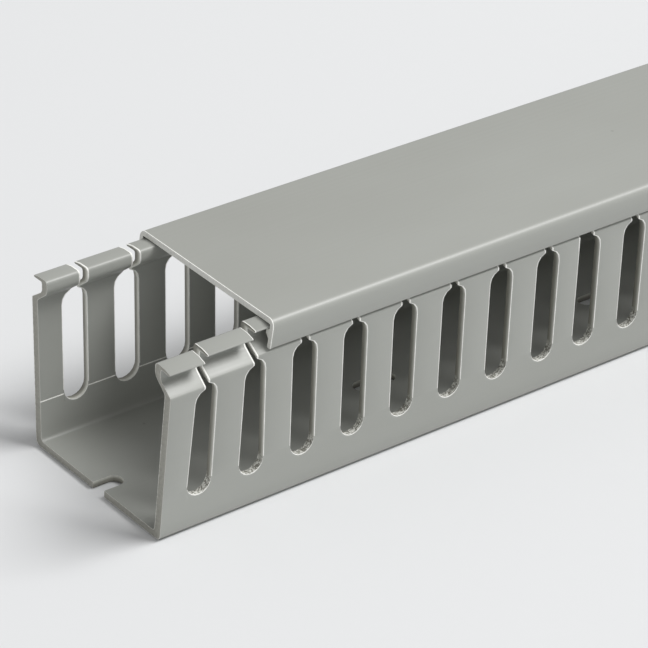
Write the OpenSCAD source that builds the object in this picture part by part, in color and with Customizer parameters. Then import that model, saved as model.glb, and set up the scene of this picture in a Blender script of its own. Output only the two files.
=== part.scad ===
// Slotted wire duct, 40 x 40 size: a channel whose walls are punched into
// fingers with hooked heads, and a cover that presses on over the heads and
// slides along them. Both are rigid PVC extrusions.
// X runs along the duct, Y across it, Z up. The origin is on the underside
// of the base, half way along its length.

/* [Base extrusion] */
// Length of the base
duct_len = 1000; // [300:1:2000]
// Width across the outer faces of the walls, at the floor
duct_w = 43; // [36:0.1:80]
// Height of the base, from its underside to the crest of the heads
base_h = 38.95; // [35:0.05:80]
// Thickness of the walls and fingers
wall_t = 1.95; // [1.4:0.05:2.2]
// Thickness of the floor
floor_t = 1.5; // [1.2:0.05:2.5]
// Radius of the outer bottom corners
corner_r = 1.2; // [0.6:0.1:1.8]
// Radius of the fillet where the floor meets a wall
fillet_r = 0.8; // [0.4:0.1:2]
// Angle at which the far wall leans outward
far_lean = 1.4; // [0:0.1:2]
// Depth of the break-off line on the inside of the fingers
score_d = 0.2; // [0.1:0.05:0.4]
// Height of the break-off line above the underside
score_z = 11.2; // [10.8:0.1:16]

/* [Finger heads] */
// Height from the outer corner of the shoulder to the crest
head_h = 5.4; // [5:0.1:6.4]
// Distance from the outer face to the bottom of the cover groove
groove_d = 3.6; // [3:0.05:4]
// Rise of the shoulder from its outer corner to the groove
shoulder_rise = 2.4; // [1.8:0.1:2.6]
// Thickness of the head behind the groove
head_t = 1.9; // [1.5:0.05:2.2]
// Thickness of the lip that turns outward over the groove
lip_t = 0.8; // [0.6:0.05:1]
// Thickness that the lip tapers to at its tip
lip_tip = 0.45; // [0.3:0.05:0.55]
// Distance that the lip's tip stays back from the outer face
lip_back = 0.85; // [0.8:0.05:1.2]

/* [Finger slots] */
// Distance from one slot to the next
slot_pitch = 12.5; // [10:0.5:20]
// Width of a slot
slot_w = 5.85; // [5:0.05:7]
// Height of the bottom of a near slot above the underside
slot_z = 7.5; // [5:0.1:7.8]
// Height by which the slots of the far wall are punched higher
far_rise = 0.9; // [0:0.1:1.2]
// Width of the slit between two heads
slit_w = 1.7; // [1.2:0.1:2.5]
// Distance from the top of a near slot's round end to the crest
neck_h = 5.85; // [5.6:0.05:8]
// Length of wall before the first slot
end_land = 6.1; // [4:0.1:8]
// Shortest length of wall left after the last slot
tail_land = 4; // [3:0.1:10]
// Slots punched by one stroke of the press
stroke_n = 8; // [4:1:16]
// Length by which the press feeds short between strokes
stroke_lap = 1.06; // [0:0.02:2]
// Angle at which the first finger of the near wall springs outward
spring_1 = 5.8; // [0:0.1:6]
// Angle at which the second finger of the near wall springs outward
spring_2 = 3.8; // [0:0.1:4]

/* [Fixing slots in the floor] */
// Width of a fixing slot
fix_w = 4; // [3.5:0.1:5]
// Length of a fixing slot, end to end
fix_l = 10.5; // [8:0.1:14]
// Distance from one fixing slot to the next
fix_pitch = 62.5; // [40:0.5:100]
// Distance from the front end to the middle of the first whole fixing slot
fix_first = 69.5; // [40:0.5:80]
// Depth of the fixing slot that the front end cuts open
fix_open = 5.8; // [3:0.1:9]
// Distance of the row of fixing slots from the middle, to the near side
fix_off = 0.6; // [0:0.1:2]

/* [Cover] */
// Length of the cover
cover_len = 1000; // [300:1:2000]
// Distance that the cover is set back from the front end of the base
cover_back = 25.1; // [22:0.1:60]
// Thickness of the cover
cover_t = 1.1; // [0.9:0.05:1.3]
// Height of the cover's side flanges
flange_h = 5.95; // [5.4:0.05:6]
// Distance that the cover stands out past each wall
cover_over = 0.37; // [0.35:0.01:0.8]
// Thickness of the side flanges
flange_t = 1; // [0.8:0.05:1]
// Outer radius of the cover's long edges
cover_r = 1.6; // [0.5:0.1:1.6]
// Reach of the bead on each flange under the lips of the heads
bead_in = 0.9; // [0.6:0.05:1.2]
// Thickness of the bead
bead_t = 0.9; // [0.7:0.05:1]
// Clearance between the cover and the heads
cover_gap = 0.2; // [0.15:0.05:0.3]

/* [Hidden] */
$fn = 48;
half_w = duct_w / 2;
front_x = -duct_len / 2;
foot_z = base_h - head_h;
slot_top = base_h - neck_h;
root_z = slot_z + slot_w / 2;
hinge_z = floor_t + 2 * fillet_r;
slot_n = len([for (i = [0 : 2 * ceil(duct_len / slot_pitch)])
    if (end_land + slot_x(i) + slot_w + tail_land <= duct_len) i]);
fix_n = 1 + floor((duct_len - fix_first - fix_l) / fix_pitch);
cover_z = base_h + cover_gap;
cover_x = front_x + cover_back;
// how far the far wall's head stands out past its foot
far_out = (foot_z - corner_r) * sin(far_lean);

// Distance from the first slot to slot i
function slot_x(i) = i * slot_pitch - floor(i / stroke_n) * stroke_lap;

// Points of the arc of radius r that rounds corner b between a and c
function turn(a, b, c, r, n) =
    let (u = (a - b) / norm(a - b), v = (c - b) / norm(c - b),
         h = acos(u * v) / 2, m = b + (u + v) / norm(u + v) * r / sin(h),
         s = b + u * r / tan(h) - m, e = b + v * r / tan(h) - m,
         t = atan2(s[0] * e[1] - s[1] * e[0], s * e))
    [for (i = [0 : n]) let (k = t * i / n) m + [s[0] * cos(k) - s[1] * sin(k), s[0] * sin(k) + s[1] * cos(k)]];

// Outline of a head: up the outer face, over the shoulder into the groove,
// out and round the lip, over the crest and down the inner face. Each corner
// is [distance in from the outer face, height, radius, steps of its arc].
function head_corners() = [
    [0, foot_z, 0.5, 2],
    [groove_d, foot_z + shoulder_rise, 1.5, 3],
    [groove_d, base_h - lip_t, 0.4, 2],
    [lip_back, base_h - lip_t, 0.12, 1],
    [lip_back, base_h - lip_t + lip_tip, 0.25, 2],
    [groove_d - 1, base_h, 1.5, 1],
    [groove_d + head_t, base_h, 0.8, 3],
    [groove_d + head_t, foot_z + shoulder_rise + 0.2, 2, 3],
    [wall_t, foot_z - 0.6, 1, 2]];

module head_profile() {
    c = head_corners();
    n = len(c);
    p = concat([[0, foot_z - 2]], [for (k = c) [k[0], k[1]]], [[wall_t, foot_z - 2]]);
    polygon(concat([p[0]], [for (i = [0 : n - 1]) each turn(p[i], p[i + 1], p[i + 2], c[i][2], c[i][3])], [p[n + 1]]));
}

// Right half of the base in section, with its wall leaning outward by a
module half_profile(a) {
    // floor and the fillet to the wall
    difference() {
        square([half_w - corner_r, floor_t + fillet_r]);
        translate([-1, floor_t]) square([half_w - wall_t - fillet_r + 1, fillet_r + 1]);
        translate([half_w - wall_t - fillet_r, floor_t + fillet_r]) circle(r = fillet_r);
    }
    translate([half_w - corner_r, corner_r]) circle(r = corner_r);
    // wall with its break-off line, and the head
    translate([half_w - corner_r, corner_r]) rotate(-a) translate([corner_r - half_w, -corner_r]) {
        difference() {
            translate([half_w - wall_t, corner_r]) square([wall_t, foot_z - 1 - corner_r]);
            translate([half_w - wall_t, score_z]) rotate(45) square(score_d * sqrt(2), center = true);
        }
        translate([half_w, 0]) mirror([1, 0]) head_profile();
    }
}

module base_section() {
    half_profile(far_lean);
    mirror([1, 0]) half_profile(0);
}

module base_extrusion(len) {
    translate([front_x, 0, 0]) rotate([90, 0, 90]) linear_extrude(height = len) base_section();
}

// One finger slot seen from the side, round at both ends, with its slit up
// through the heads. The first slot of a stroke is open on its front side.
module slot_shape(open) {
    r = slot_w / 2;
    left = open ? 0 : r - slit_w / 2;
    translate([r, slot_z + r]) circle(r = r);
    translate([0, slot_z + r]) square([slot_w, slot_top - slot_z - 2 * r]);
    translate([r, slot_top - r]) circle(r = r);
    translate([left, slot_top - r]) square([r + slit_w / 2 - left, base_h - slot_top + r + 1]);
}

// Finger slots a to b of one wall; s is -1 for the near wall, 1 for the far
module finger_slots(s, a, b) {
    translate([front_x + end_land, s < 0 ? 0 : duct_w, s < 0 ? 0 : far_rise]) rotate([90, 0, 0])
        linear_extrude(height = duct_w)
            for (i = [a : b]) translate([slot_x(i), 0]) slot_shape(i > 0 && i % stroke_n == 0);
}

// An oblong fixing slot through the floor, centred on the origin
module fixing_slot() {
    for (s = [-1, 1]) translate([s * (fix_l - fix_w) / 2, 0, -1])
        cylinder(d = fix_w, h = floor_t + 2);
    translate([-(fix_l - fix_w) / 2, -fix_w / 2, -1]) cube([fix_l - fix_w, fix_w, floor_t + 2]);
}

module fixing_slots() {
    translate([front_x, -fix_off, 0]) {
        for (i = [0 : fix_n - 1]) translate([fix_first + i * fix_pitch, 0, 0]) fixing_slot();
        translate([fix_open - fix_l / 2, 0, 0]) fixing_slot();
    }
}

// The space of near finger k (0 or 1), from the middle of the slot before it
// to the middle of the slot after it. The first one reaches down to just
// above the floor over most of the land before the first slot.
module finger_space(k) {
    x0 = k == 0 ? -1 : end_land + slot_w / 2;
    x1 = end_land + slot_x(k) + slot_w / 2;
    translate([front_x + x0, -duct_w, root_z]) cube([x1 - x0, duct_w - 1, base_h]);
    if (k == 0) translate([front_x - 1, -duct_w, hinge_z]) cube([0.9 * end_land + 1, duct_w - 1, base_h]);
}

// Near finger k, sprung outward by angle a about its inner face at height z
module sprung_finger(k, a, z) {
    translate([0, wall_t - half_w, z]) rotate([a, 0, 0]) translate([0, half_w - wall_t, -z])
        difference() {
            intersection() {
                base_extrusion(3 * slot_pitch);
                translate([0, 0, -0.2]) finger_space(k);
            }
            finger_slots(-1, 0, 2);
        }
}

module slotted_base() color([0.61, 0.62, 0.6]) {
    difference() {
        base_extrusion(duct_len);
        finger_slots(-1, 0, slot_n - 1);
        finger_slots(1, 0, slot_n - 1);
        fixing_slots();
        for (k = [0, 1]) finger_space(k);
    }
    sprung_finger(0, spring_1, hinge_z);
    sprung_finger(1, spring_2, root_z);
}

// The bead inside a flange in section, from the flange's inner face at x
// and with its top at height z
module bead(x, z) {
    p = [[x + flange_t / 2, z], [x - bead_in, z], [x - bead_in, z - bead_t],
         [x, z - 2 * bead_t], [x + flange_t / 2, z - 2 * bead_t]];
    polygon(concat([p[0]], turn(p[0], p[1], p[2], 0.4 * bead_t, 3), turn(p[1], p[2], p[3], 0.4 * bead_t, 2), [p[3], p[4]]));
}

// The cover in section: a flat plate with a flange down each side, and a bead
// inside each flange that catches under the lips
module cover_section() {
    out = half_w + far_out / 2 + cover_over;
    top = cover_z + cover_t;
    foot = top - flange_h;
    for (s = [0, 1]) mirror([s, 0]) {
        difference() {
            union() {
                translate([0, cover_z]) square([out - cover_r, cover_t]);
                translate([0, foot]) square([out, flange_h - cover_r]);
                translate([out - cover_r, top - cover_r]) circle(r = cover_r);
            }
            translate([-1, foot - 1]) square([out - flange_t + 1, cover_z - foot + 1]);
        }
        bead(out - flange_t, base_h - lip_t - cover_gap);
    }
}

module snap_cover() color([0.63, 0.63, 0.61]) {
    translate([cover_x, far_out / 2, 0]) rotate([90, 0, 90]) linear_extrude(height = cover_len) cover_section();
}

slotted_base();
snap_cover();
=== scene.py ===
import bpy, bmesh, math
from mathutils import Matrix, Vector, geometry


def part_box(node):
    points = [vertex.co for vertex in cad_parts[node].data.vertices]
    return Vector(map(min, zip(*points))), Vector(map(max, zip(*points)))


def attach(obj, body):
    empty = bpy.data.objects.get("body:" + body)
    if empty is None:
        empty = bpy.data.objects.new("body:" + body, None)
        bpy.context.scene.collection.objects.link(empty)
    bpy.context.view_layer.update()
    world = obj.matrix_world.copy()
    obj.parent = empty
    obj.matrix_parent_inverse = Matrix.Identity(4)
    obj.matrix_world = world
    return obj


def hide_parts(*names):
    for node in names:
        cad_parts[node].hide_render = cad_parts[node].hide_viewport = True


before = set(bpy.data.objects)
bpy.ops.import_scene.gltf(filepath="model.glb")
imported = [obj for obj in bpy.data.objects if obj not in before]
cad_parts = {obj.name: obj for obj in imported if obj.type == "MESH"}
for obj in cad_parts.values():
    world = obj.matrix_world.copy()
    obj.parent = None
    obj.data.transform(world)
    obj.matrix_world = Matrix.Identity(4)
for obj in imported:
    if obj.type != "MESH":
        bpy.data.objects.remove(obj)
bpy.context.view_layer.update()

mm = 0.001


def tone(code):
    """An sRGB hex colour as the linear RGBA that the shaders take."""
    parts = [int(code[i:i + 2], 16) / 255 for i in (1, 3, 5)]
    return tuple(v / 12.92 if v <= 0.04045 else ((v + 0.055) / 1.055) ** 2.4 for v in parts) + (1.0,)


def add(tree, kind, links=None, **settings):
    """Adds one node, sets its properties or inputs by name, and links {input: (node, output)} into it."""
    node = tree.nodes.new(kind)
    for name, value in settings.items():
        if hasattr(node, name):
            setattr(node, name, value)
    for name, value in settings.items():
        if not hasattr(node, name):
            node.inputs[name.replace("_", " ")].default_value = value
    for name, (source, output) in (links or {}).items():
        tree.links.new(source.outputs[output], node.inputs[name])
    return node


# ---- Camera --------------------------------------------------------------
# A long lens looks down at the front end, from the near side.
camera = bpy.data.objects.new("camera", bpy.data.cameras.new("camera"))
bpy.context.scene.collection.objects.link(camera)
azimuth, elevation, roll = 0.8845, 0.5219, 0.0379
look = Vector((math.cos(elevation) * math.cos(azimuth), math.cos(elevation) * math.sin(azimuth), -math.sin(elevation)))
right = look.cross(Vector((0, 0, 1))).normalized()
up = right.cross(look)
right, up = math.cos(roll) * right + math.sin(roll) * up, math.cos(roll) * up - math.sin(roll) * right
camera.matrix_world = Matrix.Translation(Vector((-801.85, -437.03, 344.30)) * mm) @ Matrix((right, up, -look)).transposed().to_4x4()
camera.data.sensor_width = 36
camera.data.lens = 179.17
camera.data.shift_x = -0.00065
camera.data.shift_y = -0.00079
camera.data.clip_end = 20
bpy.context.scene.camera = camera


# ---- Rigid PVC -----------------------------------------------------------
# Both extrusions are the same grey rigid PVC: a satin skin with faint die lines along it. Cut faces
# have painted light and shade, pale on their lit side and darker into the shade, and the edges of
# cuts are palest, a painted highlight.
def rigid_pvc(name, colour, light, dark, rough):
    m = bpy.data.materials.new(name)
    m.use_nodes = True
    t = m.node_tree
    t.nodes.clear()
    where = add(t, "ShaderNodeTexCoord")
    # broad, faint mottling of the colour
    wide = add(t, "ShaderNodeMapping", {"Vector": (where, "Object")}, Scale=(14, 30, 30))
    cloud = add(t, "ShaderNodeTexNoise", {"Vector": (wide, "Vector")}, Scale=1.0, Detail=3.0, Roughness=0.55)
    mix = add(t, "ShaderNodeMix", {"Factor": (cloud, "Fac")}, data_type="RGBA")
    mix.inputs["A"].default_value = tone(dark)
    mix.inputs["B"].default_value = tone(light)
    # die lines, long in X and a fraction of a millimetre across
    long = add(t, "ShaderNodeMapping", {"Vector": (where, "Object")}, Scale=(6, 1400, 1400))
    lines = add(t, "ShaderNodeTexNoise", {"Vector": (long, "Vector")}, Scale=1.0, Detail=2.0, Roughness=0.5)
    grain = add(t, "ShaderNodeTexNoise", {"Vector": (where, "Object")}, Scale=2600.0, Detail=2.0, Roughness=0.6)
    # a few dark specks in the compound, 0.2 to 0.4 mm across
    cell = add(t, "ShaderNodeTexVoronoi", {"Vector": (where, "Object")}, Scale=70.0, Randomness=1.0)
    speck = add(t, "ShaderNodeMapRange", {"Value": (cell, "Distance")}, From_Min=0.008, From_Max=0.03, To_Min=0.35, To_Max=0.0)
    base = add(t, "ShaderNodeMix", {"Factor": (speck, "Result"), "A": (mix, "Result")}, data_type="RGBA")
    base.inputs["B"].default_value = tone(colour)
    gloss = add(t, "ShaderNodeMapRange", {"Value": (lines, "Fac")}, From_Min=0.3, From_Max=0.7, To_Min=rough - 0.05, To_Max=rough + 0.06)
    ridge = add(t, "ShaderNodeMath", {0: (lines, "Fac"), 1: (grain, "Fac")}, operation="ADD")
    bump = add(t, "ShaderNodeBump", {"Height": (ridge, "Value")}, Strength=0.06, Distance=0.0002)
    links = {"Base Color": (base, "Result"), "Roughness": (gloss, "Result"), "Normal": (bump, "Normal")}
    shader = add(t, "ShaderNodeBsdfPrincipled", links, IOR=1.53)
    add(t, "ShaderNodeOutputMaterial", {"Surface": (shader, "BSDF")})
    return m


def cut_pvc(name, bands, scale, strength, torn=None):
    """PVC where it has been cut. bands are (depth, colour) through the thickness, from 0 on the lit side
    to 1 on the side in shade; the colours paint that light and shade in. scale draws the tool marks out.
    torn is for the ends of the near slots, where crumbs cling: (height where they start, height where
    they cover all, dark crumb, pale crumb)."""
    m = bpy.data.materials.new(name)
    m.use_nodes = True
    t = m.node_tree
    t.nodes.clear()
    where = add(t, "ShaderNodeTexCoord")
    drawn = add(t, "ShaderNodeMapping", {"Vector": (where, "Object")}, Scale=scale)
    streak = add(t, "ShaderNodeTexNoise", {"Vector": (drawn, "Vector")}, Scale=1.0, Detail=4.0, Roughness=0.65)
    uv = add(t, "ShaderNodeUVMap", uv_map="cut")
    depth = add(t, "ShaderNodeSeparateXYZ", {"Vector": (uv, "UV")})
    waver = add(t, "ShaderNodeMath", {0: (streak, "Fac")}, operation="MULTIPLY_ADD")
    waver.inputs[1].default_value, waver.inputs[2].default_value = 0.16, -0.08
    level = add(t, "ShaderNodeMath", {0: (depth, "X"), 1: (waver, "Value")}, operation="ADD")
    ramp = add(t, "ShaderNodeValToRGB", {"Fac": (level, "Value")})
    while len(ramp.color_ramp.elements) < len(bands):
        ramp.color_ramp.elements.new(0.5)
    for stop, (at, colour) in zip(ramp.color_ramp.elements, bands):
        stop.position, stop.color = at, tone(colour)
    shade = add(t, "ShaderNodeMapRange", {"Value": (streak, "Fac")}, From_Min=0.3, From_Max=0.7, To_Min=0.82, To_Max=1.12)
    base = add(t, "ShaderNodeVectorMath", {0: (ramp, "Color"), "Scale": (shade, "Result")}, operation="SCALE")
    if torn:
        split = add(t, "ShaderNodeSeparateXYZ", {"Vector": (where, "Object")})
        below = add(t, "ShaderNodeMapRange", {"Value": (split, "Z")}, From_Min=torn[0], From_Max=torn[1])
        near_wall = add(t, "ShaderNodeMapRange", {"Value": (split, "Y")}, From_Min=-0.015, From_Max=-0.018)
        low_down = add(t, "ShaderNodeMath", {0: (below, "Result"), 1: (near_wall, "Result")}, operation="MULTIPLY")
        crumb = add(t, "ShaderNodeTexVoronoi", {"Vector": (where, "Object")}, Scale=3200.0, Randomness=1.0)
        bright = add(t, "ShaderNodeSeparateXYZ", {"Vector": (crumb, "Color")})
        picked = add(t, "ShaderNodeMapRange", {"Value": (bright, "X")}, From_Min=0.25, From_Max=0.75)
        chip = add(t, "ShaderNodeMix", {"Factor": (picked, "Result")}, data_type="RGBA")
        chip.inputs["A"].default_value = tone(torn[2])
        chip.inputs["B"].default_value = tone(torn[3])
        links = {"Factor": (low_down, "Value"), "A": (base, "Vector"), "B": (chip, "Result")}
        base = add(t, "ShaderNodeMix", links, data_type="RGBA")
    bump = add(t, "ShaderNodeBump", {"Height": (streak, "Fac")}, Strength=strength, Distance=0.0003)
    shader = add(t, "ShaderNodeBsdfPrincipled", {"Normal": (bump, "Normal")}, Roughness=0.62, IOR=1.53)
    t.links.new(base.outputs["Result" if torn else "Vector"], shader.inputs["Base Color"])
    add(t, "ShaderNodeOutputMaterial", {"Surface": (shader, "BSDF")})
    return m


skin = rigid_pvc("rigid PVC, extruded skin", "#5C5C56", "#A6A8A3", "#9A9B95", 0.42)
# painted light and shade: pale on the lit side of a punched face, darkening through the thickness into painted shade
punched = cut_pvc("rigid PVC, punched face",
                  ((0.0, "#E4E4DD"), (0.28, "#C9C9C0"), (0.5, "#9B9A90"), (1.0, "#77766D")),
                  (900, 900, 160), 0.25, (0.0108, 0.0094, "#85847B", "#E8E8E1"))
# as dark as the skin, with a painted highlight, a pale line, along both edges
sawn = cut_pvc("rigid PVC, sawn face",
               ((0.0, "#F0F0EA"), (0.1, "#A6A59C"), (0.9, "#9D9C93"), (1.0, "#EDEDE6")),
               (500, 1500, 1500), 0.35)
# pale all through: the painted highlight on the rims of cuts, on the scored line and on the ends of the cover
edge_highlight = cut_pvc("rigid PVC, painted edge highlight", ((0.0, "#F3F3EE"), (1.0, "#F3F3EE")), (500, 500, 500), 0.3)


# ---- Slotted base --------------------------------------------------------
# One grey PVC extrusion: a floor and two walls, punched into fingers whose
# hooked heads hold the cover. The press strikes eight slots at a stroke and
# feeds a millimetre short, so every eighth finger is narrower. Its front end
# is sawn, and the first two near fingers have been pushed outward.
low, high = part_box("slotted_base")
front_x, back_x = low.x / mm, high.x / mm
half_w, wall_t, floor_t = 21.5, 1.95, 1.5
corner_r, fillet_r = 1.2, 0.8
crest_z, foot_z = 38.95, 33.55
groove_d, head_t, lip_t, lip_back = 3.6, 1.9, 0.8, 0.85
pitch, slot_w, slit_w, end_land = 12.5, 5.85, 1.7, 6.1
slot_z, slot_top = 7.5, 33.1
far_rise, far_lean = 0.9, math.radians(1.4)
score_z, score_d, score_half = 10.5, 0.16, 0.15
stroke_n, stroke_lap = 8, 1.06
slot_r = slot_w / 2
rim = 0.18        # width of the rim of a cut, painted pale as a highlight
sink = 0.05       # how far the rim rolls into the cut
burst = 0.28      # how much wider a slot is where the punch came out; it went in from the near side
band = 6.0        # half width of the middle strip of floor that carries the fixing slots
SKIN, PUNCHED, SAWN, PAINTED_HIGHLIGHT = range(4)


def arc(a, b, c, radius, steps):
    """Points that round corner b between a and c."""
    a, b, c = Vector(a), Vector(b), Vector(c)
    u, v = (a - b).normalized(), (c - b).normalized()
    half = math.acos(max(-1, min(1, u.dot(v)))) / 2
    centre = b + (u + v).normalized() * radius / math.sin(half)
    s, e = b + u * radius / math.tan(half) - centre, b + v * radius / math.tan(half) - centre
    turn = math.atan2(s.x * e.y - s.y * e.x, s.dot(e))
    return [tuple(centre + Matrix.Rotation(turn * i / steps, 2) @ s) for i in range(steps + 1)]


def finger_loop(rise):
    """Outline of a finger and its head as (distance in from the outer face, height): the outer half
    and the inner half, of equal length. Both start at the root of the finger. rise is how much
    higher its slots are punched than the near wall's."""
    root, top = slot_z + slot_r + rise, slot_top + rise * 0.4
    levels = [root, 13, 17, 24] + [top - slot_r + slot_r * math.sin(math.radians(t)) for t in (0, 25, 48, 73.1)]
    lip_z, tip_z = crest_z - lip_t, crest_z - lip_t + 0.45
    outer = [(0, z) for z in levels]
    inner = [(wall_t, z) for z in levels]
    corners = [(0, 20), (0, foot_z), (groove_d, foot_z + 2.4), (groove_d, lip_z), (lip_back, lip_z), (lip_back, tip_z)]
    outer += arc(*corners[0:3], 0.35, 2) + [(1.2, foot_z + 0.8), (2.0, foot_z + 1.333)]
    outer += arc(*corners[1:4], 1.5, 4) + arc(*corners[2:5], 0.4, 2)
    outer += [(2.4, lip_z), (1.6, lip_z)] + arc(*corners[3:6], 0.15, 1)
    back = groove_d + head_t
    corners = [(wall_t, 20), (wall_t, foot_z - 0.1), (back, foot_z + 2.6), (back, crest_z),
               (groove_d - 1, crest_z), (lip_back, tip_z), (lip_back, lip_z)]
    inner += arc(*corners[0:3], 0.6, 2) + [(3.1, foot_z + 0.8)] + arc(*corners[1:4], 2.0, 4) + arc(*corners[2:5], 0.8, 3)
    inner += [(3.8, crest_z)] + arc(*corners[3:6], 1.5, 1)[:1] + arc(*corners[4:7], 0.2, 1)
    return outer, inner, root, top


def wall_cell(name, side, rise, width, first=False, last=False, square=False):
    """One finger with half a slot on each side, and the wall and floor under it. side is -1 for the
    near wall and 1 for the far one. A first or last cell ends in the sawn end; a square one has no
    flare towards the slot after it."""
    outer, inner, root, top = finger_loop(rise)
    start = top - slot_r

    def half_slot(z, wider):
        r = slot_r + wider
        if z <= start:
            return r
        return max(slit_w / 2 + wider / 4, r * math.sqrt(max(0, 1 - ((z - start) / r) ** 2)))

    def columns(z, wider):
        a = 0 if first else half_slot(z, wider)
        b = width if last else width - (slot_r + wider if square else half_slot(z, wider))
        # the painted highlight on the rim is broadest round the top of a slot
        edge = rim + 0.14 * max(0, min(1, (z - start) / 2)) * (wider == 0)
        return [a, a + edge, (a + b) / 2, b - edge, b]

    def burst_at(n):
        share = max(0, min(1, n / wall_t))
        return burst * (share if side < 0 else 1 - share)

    def place(x, n, z):
        u = half_w - n
        if side > 0 and z > corner_r and (n <= 2 or z > 3):
            across, over = u - half_w + corner_r, z - corner_r
            u = half_w - corner_r + across * math.cos(far_lean) + over * math.sin(far_lean)
            z = corner_r - across * math.sin(far_lean) + over * math.cos(far_lean)
        return Vector((x, side * u, z)) * mm

    bm = bmesh.new()
    kind = bm.faces.layers.int.new("kind")
    cut = bm.loops.layers.uv.new("cut")

    def face(points, k, depths=None):
        f = bm.faces.new([bm.verts.new(p) for p in points])
        f[kind] = k
        for corner, depth in zip(f.loops, depths or [0.5] * len(points)):
            corner[cut].uv = (depth, corner.vert.co.z * 100)

    # depth through the thickness at the outer and at the inner face: 0 on the lit side, 1 on the side in shade, for the
    # painted light and shade of the cut faces
    lit_depth, shade_depth = (0, 1) if side < 0 else (1, 0)

    # the finger, as a loop of stations swept over its columns
    loop = outer + inner[::-1]
    grid = []
    for i, (n, z) in enumerate(loop):
        p, q = loop[max(i - 1, 0)], loop[min(i + 1, len(loop) - 1)]
        t = (Vector(q) - Vector(p)).normalized()
        row = []
        for j, x in enumerate(columns(z, burst_at(0 if i < len(outer) else wall_t))):
            d = sink if (j == 0 and not first) or (j == 4 and not last) else 0.03 if j in (0, 4) else 0
            row.append(place(x, n + t.y * d, z - t.x * d if i not in (0, len(loop) - 1) else z))
        grid.append(row)
    for i in range(len(grid) - 1):
        for j in range(4):
            # the columns next to the slots carry the painted highlight along the rim
            edge = (j == 0 and not first) or (j == 3 and not last)
            face([grid[i][j], grid[i][j + 1], grid[i + 1][j + 1], grid[i + 1][j]], PAINTED_HIGHLIGHT if edge else SKIN)
    m = len(outer)
    for i in range(m - 1):
        for j, end in ((0, first), (4, last)):
            face([grid[i][j], grid[i + 1][j], grid[-2 - i][j], grid[-1 - i][j]], SAWN if end else PUNCHED, [lit_depth, lit_depth, shade_depth, shade_depth])

    # the strip under it: columns of (x, height of its top, how far its top edge rolls in, whether it is under a slot)
    def strip_top(wider):
        strip = []
        for j, x in enumerate(columns(root, wider)):
            at_saw = first and j == 0 or last and j == 4
            strip.append((x, root, (0.03 if at_saw else sink) if j in (0, 4) else 0, False))
        r = slot_r + wider
        round_end = [(r * math.sin(math.radians(a)), root - r * math.cos(math.radians(a))) for a in (0, 18, 36, 54, 72)]
        if not first:
            strip = [(x, z, sink, True) for x, z in round_end] + strip
        if not last:
            strip += [(width - x, z, sink, True) for x, z in reversed(round_end)]
        return strip

    def corner(n, z, r):
        """The round corner between a face of the wall and one of the floor."""
        return [(n + r - r * math.cos(a), z + r - r * math.sin(a)) for a in [math.radians(d) for d in (0, 30, 60, 90)]]

    out_tail = [(0, 6.6), (0, 4)] + corner(0, 0, corner_r) + [(half_w - band, 0)]
    in_tail = [(wall_t, 6.6), (wall_t, 4)] + corner(wall_t, floor_t, fillet_r) + [(half_w - band, floor_t)]
    # the scored line that a finger snaps off along runs between the slots
    score = min(score_z, root - rim - 0.25)
    rows = []
    strip = strip_top(burst_at(0))
    for (x, z, d, under), (x2, z2, _, _) in zip(strip, strip_top(burst_at(wall_t))):
        if under:
            scored = [(wall_t, z2 - rim - (z2 - rim - 6.6) * i / 4) for i in (1, 2, 3)]
        else:
            scored = [(wall_t, score + score_half), (wall_t - score_d, score), (wall_t, score - score_half)]
        plain = [(0, min(h, z - rim - 0.1 * (i + 1))) for i, (_, h) in enumerate(scored)]
        rows.append(([place(x, n, h) for n, h in [(d, z), (0, z - rim)] + plain + out_tail],
                     [place(x2, n, h) for n, h in [(wall_t - d, z2), (wall_t, z2 - rim)] + scored]
                     + [place(x if n > wall_t else x2, n, h) for n, h in in_tail]))
    for j in range(len(rows) - 1):
        under = strip[j][3] or strip[j + 1][3]
        for k in (0, 1):
            a, b = rows[j][k], rows[j + 1][k]
            for i in range(len(a) - 1):
                # the rolled rim at a slot's end and the two facets of the scored line take the painted highlight
                pale = i == 0 if under else k == 1 and i in (2, 3)
                face([a[i], b[i], b[i + 1], a[i + 1]], PAINTED_HIGHLIGHT if pale else SKIN)
        if under:
            face([rows[j][0][0], rows[j + 1][0][0], rows[j + 1][1][0], rows[j][1][0]], PUNCHED, [lit_depth, lit_depth, shade_depth, shade_depth])
    for end, j in ((first, 0), (last, -1)):
        if end:
            a, b = rows[j]
            for i in range(len(a) - 1):
                face([a[i], a[i + 1], b[i + 1], b[i]], SAWN, [lit_depth, lit_depth, shade_depth, shade_depth])
    bmesh.ops.remove_doubles(bm, verts=bm.verts, dist=2e-6)
    mesh = bpy.data.meshes.new(name)
    bm.to_mesh(mesh)
    bm.free()
    cell = bpy.data.objects.new(name, mesh)
    bpy.context.scene.collection.objects.link(cell)
    return cell


# Geometry Nodes set the cells out along a wall: at the pitch, short by the lap
# after each stroke, each finger leaning a trifle by itself.
group = bpy.data.node_groups.new("punched_wall", "GeometryNodeTree")
face_in = group.interface
face_in.new_socket("Geometry", in_out="INPUT", socket_type="NodeSocketGeometry")
for label, kind in (("Cell", "Object"), ("Seam cell", "Object"), ("Cells", "Int"), ("Pitch", "Float"), ("Stroke", "Int"),
                    ("Lap", "Float"), ("Lean", "Float"), ("Root height", "Float"), ("Seed", "Int")):
    face_in.new_socket(label, in_out="INPUT", socket_type="NodeSocket" + kind)
for label in ("Skin", "Punched", "Sawn", "Whitened"):
    face_in.new_socket(label, in_out="INPUT", socket_type="NodeSocketMaterial")
face_in.new_socket("Geometry", in_out="OUTPUT", socket_type="NodeSocketGeometry")
given = add(group, "NodeGroupInput")
index = add(group, "GeometryNodeInputIndex")
line = add(group, "GeometryNodeMeshLine", {"Count": (given, "Cells")}, mode="OFFSET")
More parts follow.
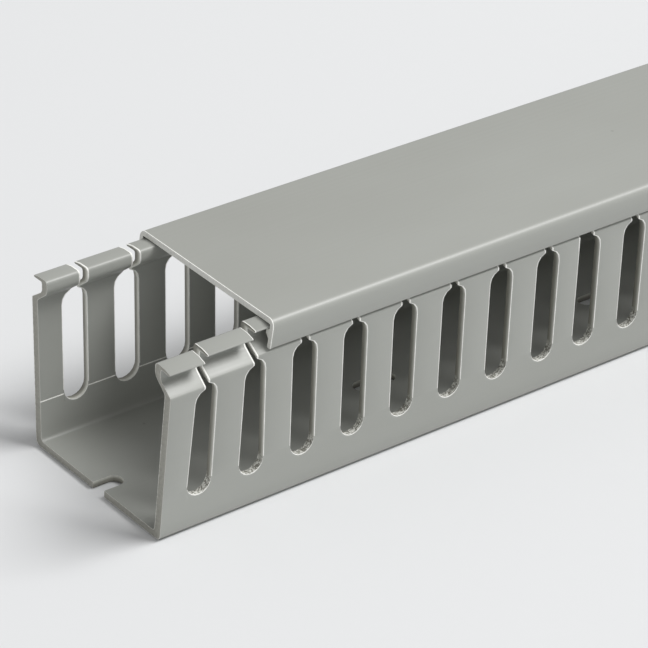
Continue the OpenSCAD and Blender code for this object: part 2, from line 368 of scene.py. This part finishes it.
along = add(group, "ShaderNodeMath", {0: (index, 0), 1: (given, "Pitch")}, operation="MULTIPLY")
ratio = add(group, "ShaderNodeMath", {0: (index, 0), 1: (given, "Stroke")}, operation="DIVIDE")
strokes = add(group, "ShaderNodeMath", {0: (ratio, 0)}, operation="FLOOR")
short = add(group, "ShaderNodeMath", {0: (strokes, 0), 1: (given, "Lap")}, operation="MULTIPLY")
at = add(group, "ShaderNodeMath", {0: (along, 0), 1: (short, 0)}, operation="SUBTRACT")
spot = add(group, "ShaderNodeCombineXYZ", {"X": (at, 0)})
points = add(group, "GeometryNodeSetPosition", {"Geometry": (line, "Mesh"), "Position": (spot, 0)})
numbered = add(group, "GeometryNodeStoreNamedAttribute", {"Geometry": (points, 0), "Value": (index, 0)}, data_type="INT", domain="POINT")
numbered.inputs["Name"].default_value = "finger"
after = add(group, "ShaderNodeMath", {0: (index, 0)}, operation="ADD")
after.inputs[1].default_value = 1
left = add(group, "ShaderNodeMath", {0: (after, 0), 1: (given, "Stroke")}, operation="MODULO")
seam = add(group, "FunctionNodeCompare", {"A": (left, 0)}, data_type="FLOAT", operation="LESS_THAN")
seam.inputs["B"].default_value = 0.5
plain = add(group, "FunctionNodeBooleanMath", {0: (seam, 0)}, operation="NOT")
parts = []
for label, chosen in (("Cell", plain), ("Seam cell", seam)):
    info = add(group, "GeometryNodeObjectInfo", {"Object": (given, label)})
    parts.append(add(group, "GeometryNodeInstanceOnPoints", {"Points": (numbered, 0), "Selection": (chosen, 0), "Instance": (info, "Geometry")}))
both = add(group, "GeometryNodeJoinGeometry")
for part in parts:
    group.links.new(part.outputs[0], both.inputs[0])
real = add(group, "GeometryNodeRealizeInstances", {"Geometry": (both, 0)})
finger = add(group, "GeometryNodeInputNamedAttribute", data_type="INT")
finger.inputs["Name"].default_value = "finger"
chance = add(group, "FunctionNodeRandomValue", {"ID": (finger, "Attribute"), "Seed": (given, "Seed")}, data_type="FLOAT")
place_now = add(group, "GeometryNodeInputPosition")
split = add(group, "ShaderNodeSeparateXYZ", {0: (place_now, 0)})
above = add(group, "ShaderNodeMath", {0: (split, "Z"), 1: (given, "Root height")}, operation="SUBTRACT")
above.use_clamp = True
side_step = add(group, "ShaderNodeMath", {0: (above, 0), 1: (given, "Lean")}, operation="MULTIPLY")
spread = add(group, "ShaderNodeMath", {0: (chance, 1)}, operation="SUBTRACT")
spread.inputs[1].default_value = 0.5
amount = add(group, "ShaderNodeMath", {0: (side_step, 0), 1: (spread, 0)}, operation="MULTIPLY")
offset = add(group, "ShaderNodeCombineXYZ", {"Y": (amount, 0)})
leaned = add(group, "GeometryNodeSetPosition", {"Geometry": (real, 0), "Offset": (offset, 0)})
weld = add(group, "GeometryNodeMergeByDistance", {"Geometry": (leaned, 0)}, Distance=2e-6)
geo = weld
kinds = add(group, "GeometryNodeInputNamedAttribute", data_type="INT")
kinds.inputs["Name"].default_value = "kind"
for k, label in enumerate(("Skin", "Punched", "Sawn", "Whitened")):
    same = add(group, "FunctionNodeCompare", {"A": (kinds, "Attribute")}, data_type="INT", operation="EQUAL")
    for socket in same.inputs:
        if socket.name == "A" and socket.type == "INT":
            group.links.new(kinds.outputs["Attribute"], socket)
        if socket.name == "B" and socket.type == "INT":
            socket.default_value = k
    geo = add(group, "GeometryNodeSetMaterial", {"Geometry": (geo, 0), "Selection": (same, 0), "Material": (given, label)})
add(group, "NodeGroupOutput", {0: (geo, 0)})


def slot_at(i):
    """Distance from the front end to the left side of slot i."""
    return end_land + i * pitch - i // stroke_n * stroke_lap


slots = len([i for i in range(200) if slot_at(i) + slot_w + 4 <= back_x - front_x])
walls = []
for side, rise, label in ((-1, 0.0, "near"), (1, far_rise, "far")):
    cell = wall_cell(label + "_cell", side, rise, pitch)
    seam_cell = wall_cell(label + "_seam_cell", side, rise, pitch - stroke_lap, square=True)
    wall = bpy.data.objects.new(label + "_wall", bpy.data.meshes.new(label + "_wall"))
    bpy.context.scene.collection.objects.link(wall)
    mod = wall.modifiers.new("punched_wall", "NODES")
    mod.node_group = group
    named = {s.name: s.identifier for s in group.interface.items_tree if s.in_out == "INPUT"}
    for key, value in (("Cell", cell), ("Seam cell", seam_cell), ("Cells", slots - 1), ("Pitch", pitch * mm),
                       ("Stroke", stroke_n), ("Lap", stroke_lap * mm), ("Lean", 0.008), ("Root height", 0.012), ("Seed", 7 + side),
                       ("Skin", skin), ("Punched", punched), ("Sawn", sawn), ("Whitened", edge_highlight)):
        mod[named[key]] = value
    bpy.context.view_layer.update()
    ready = wall.evaluated_get(bpy.context.evaluated_depsgraph_get())
    mesh = bpy.data.meshes.new_from_object(ready)
    wall.modifiers.clear()
    wall.data = mesh
    wall.location.x = (front_x + slot_at(0) + slot_r) * mm
    first = wall_cell(label + "_first", side, rise, end_land + slot_r, first=True)
    first.location.x = front_x * mm
    tail = wall_cell(label + "_last", side, rise, back_x - front_x - slot_at(slots - 1) - slot_r, last=True)
    tail.location.x = (front_x + slot_at(slots - 1) + slot_r) * mm
    for end in (first, tail):
        for m in (skin, punched, sawn, edge_highlight):
            end.data.materials.append(m)
        for f, k in zip(end.data.polygons, end.data.attributes["kind"].data):
            f.material_index = k.value
    for helper in (cell, seam_cell):
        bpy.data.objects.remove(helper)
    walls += [wall, first, tail]
bpy.context.view_layer.update()
base = bpy.data.objects.new("slotted_base_pvc", bpy.data.meshes.new("slotted_base_pvc"))
bpy.context.scene.collection.objects.link(base)
for m in (skin, punched, sawn, edge_highlight):
    base.data.materials.append(m)
bm = bmesh.new()
order = [m.name for m in base.data.materials]
for wall in walls:
    start = len(bm.faces)
    bm.from_mesh(wall.data)
    bm.faces.ensure_lookup_table()
    fresh = bm.faces[start:]
    names = [m.name if m else skin.name for m in wall.data.materials]
    for f in fresh:
        f.material_index = order.index(names[f.material_index])
    bmesh.ops.translate(bm, vec=wall.location, verts=list({v for f in fresh for v in f.verts}))
    bpy.data.objects.remove(wall)

# the middle of the floor, with its oblong fixing slots; the front end cuts one open
edge = {-1: [], 1: []}
for v in bm.verts:
    if abs(abs(v.co.y) - band * mm) < 1e-6 and v.co.z < 1e-6:
        edge[1 if v.co.y > 0 else -1].append(v.co.x)
fix_w, fix_l, fix_pitch, fix_first, fix_open, fix_off = 4.0, 10.5, 62.5, 69.5, 5.8, 0.6
near_x = sorted(set(round(x, 7) for x in edge[-1]))
far_x = sorted(set(round(x, 7) for x in edge[1]))


def oblong(x, steps=10):
    """Outline of a fixing slot centred at x, in metres."""
    h, r = (fix_l - fix_w) / 2, fix_w / 2
    ring = []
    for s in (1, -1):
        for i in range(steps + 1):
            a = math.radians(-90 + 180 * i / steps)
            ring.append(Vector(((x + s * h + s * r * math.cos(a)) * mm, (-fix_off + s * r * math.sin(a)) * mm)))
    return ring


holes = []
x = front_x + fix_first
while x + fix_l < back_x:
    holes.append(oblong(x))
    x += fix_pitch
notch_r = fix_w / 2
notch = [Vector((front_x * mm, (-fix_off - notch_r) * mm))]
for i in range(11):
    a = math.radians(-90 + 18 * i)
    notch.append(Vector(((front_x + fix_open - notch_r + notch_r * math.cos(a)) * mm, (-fix_off + notch_r * math.sin(a)) * mm)))
notch.append(Vector((front_x * mm, (-fix_off + notch_r) * mm)))
rim_2d = [Vector((x, -band * mm)) for x in near_x] + [Vector((x, band * mm)) for x in reversed(far_x)] + notch[::-1]
points_2d = rim_2d + [p for h in holes for p in h]
edges_2d = [(i, (i + 1) % len(rim_2d)) for i in range(len(rim_2d))]
k = len(rim_2d)
for h in holes:
    edges_2d += [(k + i, k + (i + 1) % len(h)) for i in range(len(h))]
    k += len(h)
out = geometry.delaunay_2d_cdt(points_2d, edges_2d, [], 1, 1e-8)
centres = [sum(h, Vector((0, 0))) / len(h) for h in holes]


def in_hole(p):
    if p.x < (front_x + fix_open) * mm and abs(p.y + fix_off * mm) < notch_r * mm:
        q = Vector((p.x - (front_x + fix_open - notch_r) * mm, p.y + fix_off * mm))
        return q.x < 0 or q.length < notch_r * mm
    for c in centres:
        q = p - c
        if abs(q.y) < notch_r * mm and abs(q.x) < fix_l / 2 * mm:
            e = max(0, abs(q.x) - (fix_l - fix_w) / 2 * mm)
            if math.hypot(e, q.y) < notch_r * mm:
                return True
    return False


for z in (0.0, floor_t * mm):
    made = [bm.verts.new((p.x, p.y, z)) for p in out[0]]
    for tri in out[2]:
        c = sum((out[0][i] for i in tri), Vector((0, 0))) / 3
        if not in_hole(c):
            f = bm.faces.new([made[i] for i in tri])
            f.material_index = SKIN
loops = [(h, PUNCHED, True) for h in holes] + [(notch, PUNCHED, False)]
loops.append(([Vector((front_x * mm, -band * mm)), notch[0]], SAWN, False))
loops.append(([notch[-1], Vector((front_x * mm, band * mm))], SAWN, False))
loops.append(([Vector((back_x * mm, -band * mm)), Vector((back_x * mm, band * mm))], SAWN, False))
cut = bm.loops.layers.uv["cut"]
for ring, k, closed in loops:
    for i in range(len(ring) if closed else len(ring) - 1):
        a, b = ring[i], ring[(i + 1) % len(ring)]
        f = bm.faces.new([bm.verts.new((q.x, q.y, z)) for q, z in ((a, 0), (b, 0), (b, floor_t * mm), (a, floor_t * mm))])
        f.material_index = k
        # painted shade: the cut faces of the fixing slots are pale at the top and darken downward
        for corner, depth in zip(f.loops, (1, 1, 0, 0)):
            corner[cut].uv = (depth, (corner.vert.co.x - front_x * mm) * 100)
bmesh.ops.remove_doubles(bm, verts=bm.verts, dist=3e-6)
bmesh.ops.recalc_face_normals(bm, faces=bm.faces)


def smooth(t):
    t = max(0.0, min(1.0, t))
    return t * t * (3 - 2 * t)


# the sprung near fingers and the saw cut, a little out of square; the first finger is free at the
# sawn end, so the line that it turns about climbs from the corner of the floor to the slot's end
push, push_z = 3.45, 38         # how far out the first finger stands at that height
hinge_low, hinge_rise = 1.2, 6.8
spring_2, hinge_2 = 3.8, 10     # the second finger's angle in degrees, and its hinge
out_of_square = 0.47
for v in bm.verts:
    d = v.co.x / mm - front_x
    z = v.co.z / mm
    if v.co.y < -0.012 and d < slot_at(1) + slot_r:
        if d < slot_at(0) + slot_r:
            hinge = hinge_low + hinge_rise * min(1, d / end_land)
            free = d < end_land + 0.01 or z > 12
            a = math.degrees(math.asin(push / (push_z - hinge))) * smooth((z - hinge) / 3) * free
        else:
            hinge = hinge_2
            a = spring_2 * smooth((z - 9) / 5)
        pivot = Vector((0, (wall_t - half_w) * mm, hinge * mm))
        q = Matrix.Rotation(math.radians(a), 3, "X") @ Vector((0, v.co.y - pivot.y, v.co.z - pivot.z))
        v.co.y, v.co.z = pivot.y + q.y, pivot.z + q.z
    if d < end_land:
        v.co.x += out_of_square * mm * max(0, v.co.y / mm + half_w) / (2 * half_w) * (1 - d / end_land)
bm.to_mesh(base.data)
bm.free()
for f in base.data.polygons:
    f.use_smooth = True
base.data.set_sharp_from_angle(angle=math.radians(32))
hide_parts("slotted_base")
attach(base, "base")

# ---- Cover ---------------------------------------------------------------
# A second grey PVC extrusion, a flat plate with a flange down each side. A
# bead inside each flange catches under the lips of the heads. It is sawn a
# little out of square and slides along the base.
low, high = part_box("snap_cover")
cover_lo, cover_hi = low / mm, high / mm
plate_t, flange_t, edge_r = 1.1, 1.0, 1.6
bead_in = 0.9                   # how far the bead stands in from the flange
saw_up, saw_across = 0.8, 0.75  # how far out of square the front is sawn
mid = (cover_lo.y + cover_hi.y) / 2
reach = (cover_hi.y - cover_lo.y) / 2
top, foot = cover_hi.z, cover_lo.z
under = top - plate_t
inside = reach - flange_t
half = [(0, top)] + arc((0, top), (reach, top), (reach, foot), edge_r, 8) + arc((reach, top), (reach, foot), (0, foot), 0.2, 2)
half += arc((reach, foot), (inside, foot), (inside, top), 0.2, 2) + [(inside, under - 3.0)]
bead = [(inside, under - 3.0), (inside - bead_in, under - 2.1), (inside - bead_in, under - 1.2), (inside, under - 1.2)]
half += arc(*bead[:3], 0.3, 2) + arc(*bead[1:], 0.3, 3)
half += [(inside, under - 1.2)] + arc((inside, foot), (inside, under), (0, under), 0.3, 2)
ring = [(mid + u, z) for u, z in half] + [(mid, under)] + [(mid - u, z) for u, z in reversed(half[1:])]
bm = bmesh.new()
rows = []
length = cover_hi.x - cover_lo.x
for share in (0.0, 0.0002, 0.05, 0.25, 0.5, 0.75, 0.9998, 1.0):
    row = []
    for y, z in ring:
        x = cover_lo.x + share * length
        if share < 0.001:
            x += saw_up * (z - foot) / (top - foot) + saw_across * (y - cover_lo.y) / (2 * reach)
        row.append(bm.verts.new(Vector((x, y, z)) * mm))
    rows.append(row)
n = len(ring)
for i in range(len(rows) - 1):
    for j in range(n):
        f = bm.faces.new((rows[i][j], rows[i][(j + 1) % n], rows[i + 1][(j + 1) % n], rows[i + 1][j]))
        # the thin strips at each end take the painted edge highlight; the sawn ends have no cut UV map, so they come
        # out pale, a painted highlight as well
        f.material_index = 2 if i in (0, len(rows) - 2) else 0
for row in (rows[0], rows[-1]):
    f = bm.faces.new(row)
    f.material_index = 1
bmesh.ops.recalc_face_normals(bm, faces=bm.faces)
cover = bpy.data.objects.new("cover_pvc", bpy.data.meshes.new("cover_pvc"))
bpy.context.scene.collection.objects.link(cover)
for m in (skin, sawn, edge_highlight):
    cover.data.materials.append(m)
bm.to_mesh(cover.data)
bm.free()
for f in cover.data.polygons:
    f.use_smooth = True
cover.data.set_sharp_from_angle(angle=math.radians(32))
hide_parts("snap_cover")
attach(cover, "cover")

# ---- Floor and light -----------------------------------------------------
# A pale studio floor under a broad soft light.
plate = bmesh.new()
bmesh.ops.create_grid(plate, x_segments=1, y_segments=1, size=6)
floor = bpy.data.objects.new("studio_floor", bpy.data.meshes.new("studio_floor"))
plate.to_mesh(floor.data)
plate.free()
floor.location.z = -0.0002
bpy.context.scene.collection.objects.link(floor)
paper = bpy.data.materials.new("matt white paper")
paper.use_nodes = True
shader = paper.node_tree.nodes["Principled BSDF"]
shader.inputs["Base Color"].default_value = tone("#DFE0E1")
shader.inputs["Roughness"].default_value = 0.9
shader.inputs["Specular IOR Level"].default_value = 0.1
floor.data.materials.append(paper)

world = bpy.data.worlds.new("studio")
bpy.context.scene.world = world
world.use_nodes = True
world.node_tree.nodes["Background"].inputs["Color"].default_value = (1.0, 1.0, 1.0, 1)
world.node_tree.nodes["Background"].inputs["Strength"].default_value = 0.42
lamp = bpy.data.objects.new("soft_box", bpy.data.lights.new("soft_box", "AREA"))
lamp.data.shape = "RECTANGLE"
lamp.data.size, lamp.data.size_y = 2.0, 1.5
lamp.data.energy = 112
lamp.location = (1.17, -1.2, 2.88)
lamp.rotation_euler = (Vector((-0.35, 0, 0)) - lamp.location).to_track_quat("-Z", "Y").to_euler()
bpy.context.scene.collection.objects.link(lamp)
bpy.context.scene.view_settings.view_transform = "Standard"
